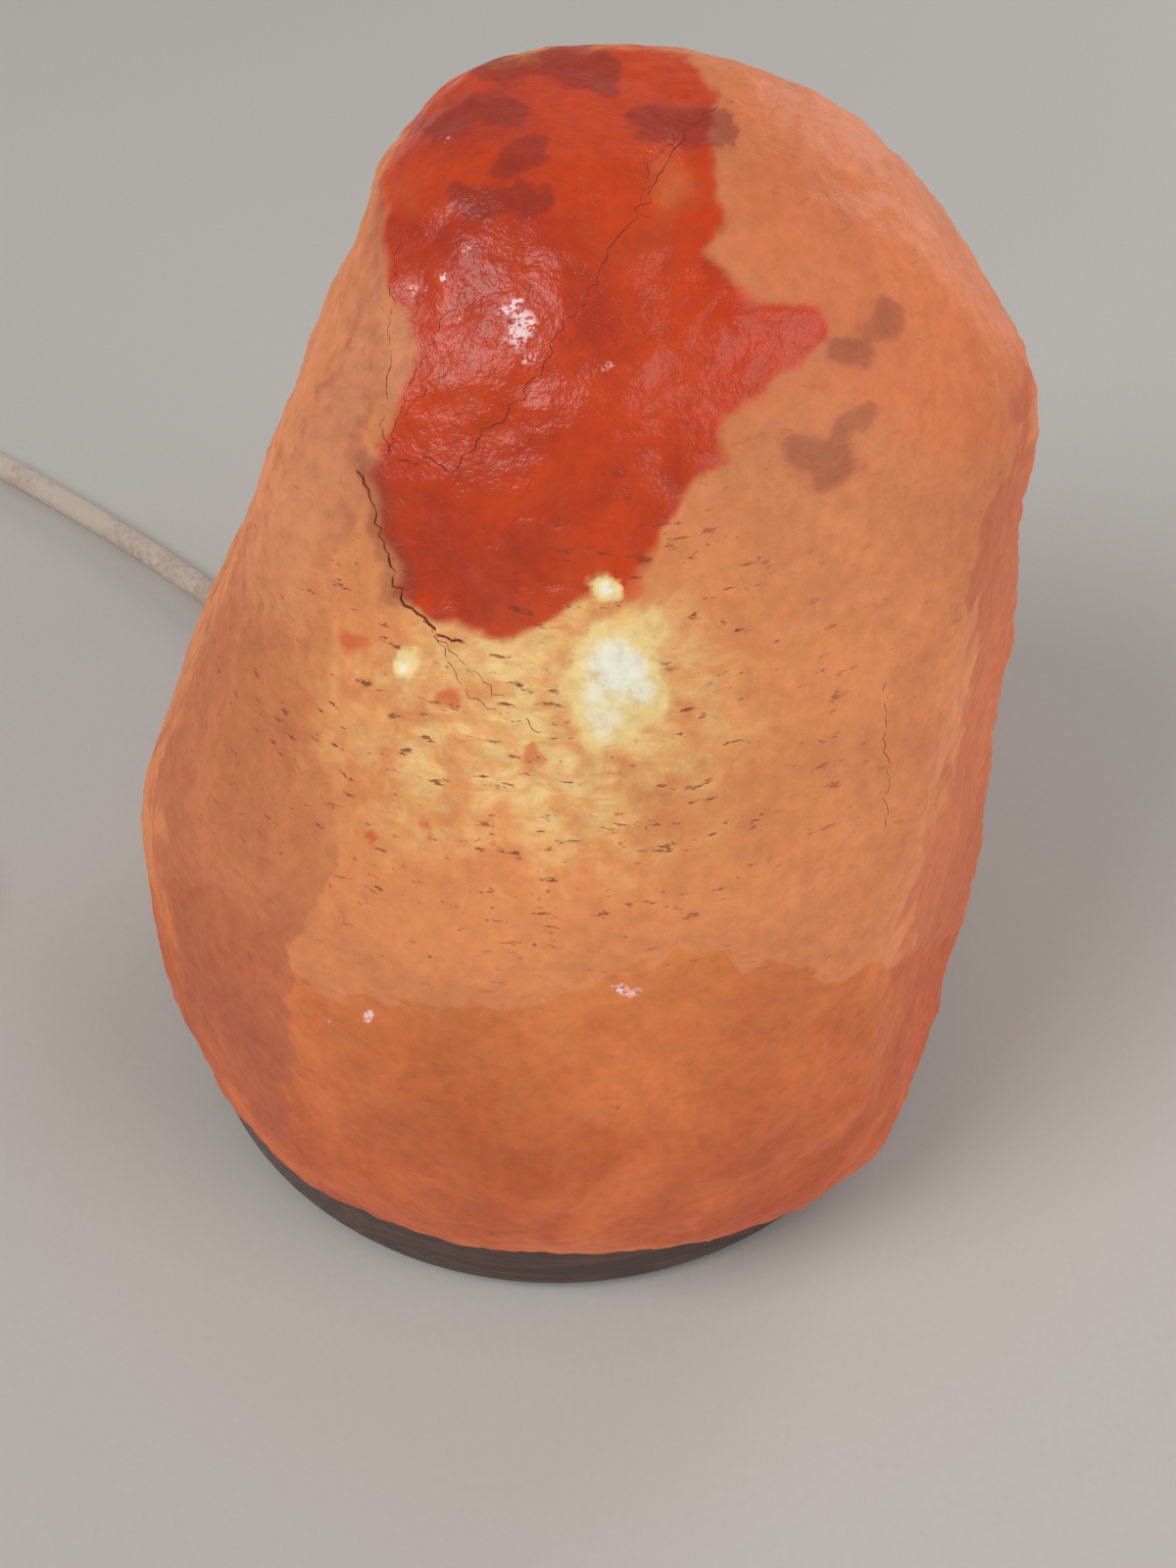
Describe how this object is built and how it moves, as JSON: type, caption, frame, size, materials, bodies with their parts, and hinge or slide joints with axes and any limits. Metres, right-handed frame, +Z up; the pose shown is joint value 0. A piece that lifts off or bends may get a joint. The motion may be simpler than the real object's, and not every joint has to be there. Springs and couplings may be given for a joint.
{
  "type": "salt crystal lamp",
  "caption": "Rough block of rock salt, hollowed for a small screw bulb, on a turned dark wooden base, with a corded rocker switch and plug.",
  "frame": {"origin": "on the table at the axis of the wooden base, under the middle of the lamp without its cord", "axes": "+Z up; -Y is the side with the glossy face and the ledge; the cord leaves at the back left"},
  "size_m": [0.3001, 0.3064, 0.19],
  "materials": {
    "rock_salt": "rough natural rock salt, lit from inside",
    "dark_wood": "dark stained, satin lacquer",
    "black_rubber": "matt",
    "zinc_steel": "zinc plated",
    "spring_steel": "rolled spring strip",
    "grey_nylon": "matt nylon",
    "white_bakelite": "moulded, satin",
    "white_ceramic": "unglazed steatite",
    "contact_brass": "rolled brass",
    "cord_sheath": "smooth ivory PVC",
    "black_glass": "black glass insulator",
    "nickel_cap": "nickel plated",
    "bulb_glass": "clear",
    "filament": "glowing wire",
    "brown_core": "PVC insulation",
    "blue_core": "PVC insulation",
    "switch_plastic": "moulded, satin",
    "rocker_plastic": "moulded, smooth",
    "plug_pvc": "moulded PVC",
    "nickel_pin": "nickel plated brass",
    "black_nylon": "nylon"
  },
  "bodies": {
    "root": {"salt_crystal": "rock_salt", "wooden_base": "dark_wood", "foot_1": "black_rubber", "foot_2": "black_rubber", "foot_3": "black_rubber", "foot_4": "black_rubber", "base_screws": "zinc_steel", "screw_sleeves": "grey_nylon", "switch_base": "switch_plastic", "switch_cover": "switch_plastic", "switch_contacts": "contact_brass", "switch_screws": "zinc_steel", "cord_clamps": "grey_nylon", "rocker_pin": "zinc_steel", "plug_body": "plug_pvc", "plug_pins": "nickel_pin", "pin_sleeves": "black_nylon", "plug_relief": "plug_pvc", "cord_to_switch": "cord_sheath", "cord_to_coil": "cord_sheath", "cord_coil": "cord_sheath", "cord_to_plug": "cord_sheath"},
    "light_unit": {"spring_clip": "spring_steel", "nipple": "zinc_steel", "nipple_nut": "zinc_steel", "holder_cap": "white_bakelite", "holder_body": "white_bakelite", "holder_insert": "white_ceramic", "terminal_blocks": "contact_brass", "terminal_screws": "zinc_steel", "screw_shell": "contact_brass", "centre_contact": "contact_brass", "cord_grip": "grey_nylon", "grip_screw": "grey_nylon", "inner_cord": "cord_sheath", "live_core": "brown_core", "neutral_core": "blue_core"},
    "bulb_rise": {"bulb_contact": "contact_brass"},
    "bulb": {"bulb_insulator": "black_glass", "bulb_cap": "nickel_cap", "bulb_glass": "bulb_glass", "bulb_stem": "bulb_glass", "filament_leads": "nickel_cap", "bulb_filament": "filament"},
    "rocker": {"switch_rocker": "rocker_plastic", "contact_bridge": "contact_brass"}
  },
  "joints": [
    {"name": "light_unit_slide", "type": "slide", "parent": "root", "child": "light_unit", "axis": [0, 0, 1], "range_m": [-0.11, 0]},
    {"name": "bulb_lift", "type": "slide", "parent": "light_unit", "child": "bulb_rise", "axis": [0, 0, 1], "range_m": [0, 0.00705]},
    {"name": "bulb_screw", "type": "hinge", "parent": "bulb_rise", "child": "bulb", "pos_m": [0, 0, 0.078], "axis": [0, 0, 1], "range_deg": [0, 900]},
    {"name": "rocker_switch", "type": "hinge", "parent": "root", "child": "rocker", "pos_m": [-0.21, 0.091, 0.014], "axis": [1, 0, 0], "range_deg": [-24, 0]}
  ],
  "couplings": [
    {"joint": "bulb_screw", "follows": "bulb_lift", "rad_per_m": 2227.2}
  ]
}
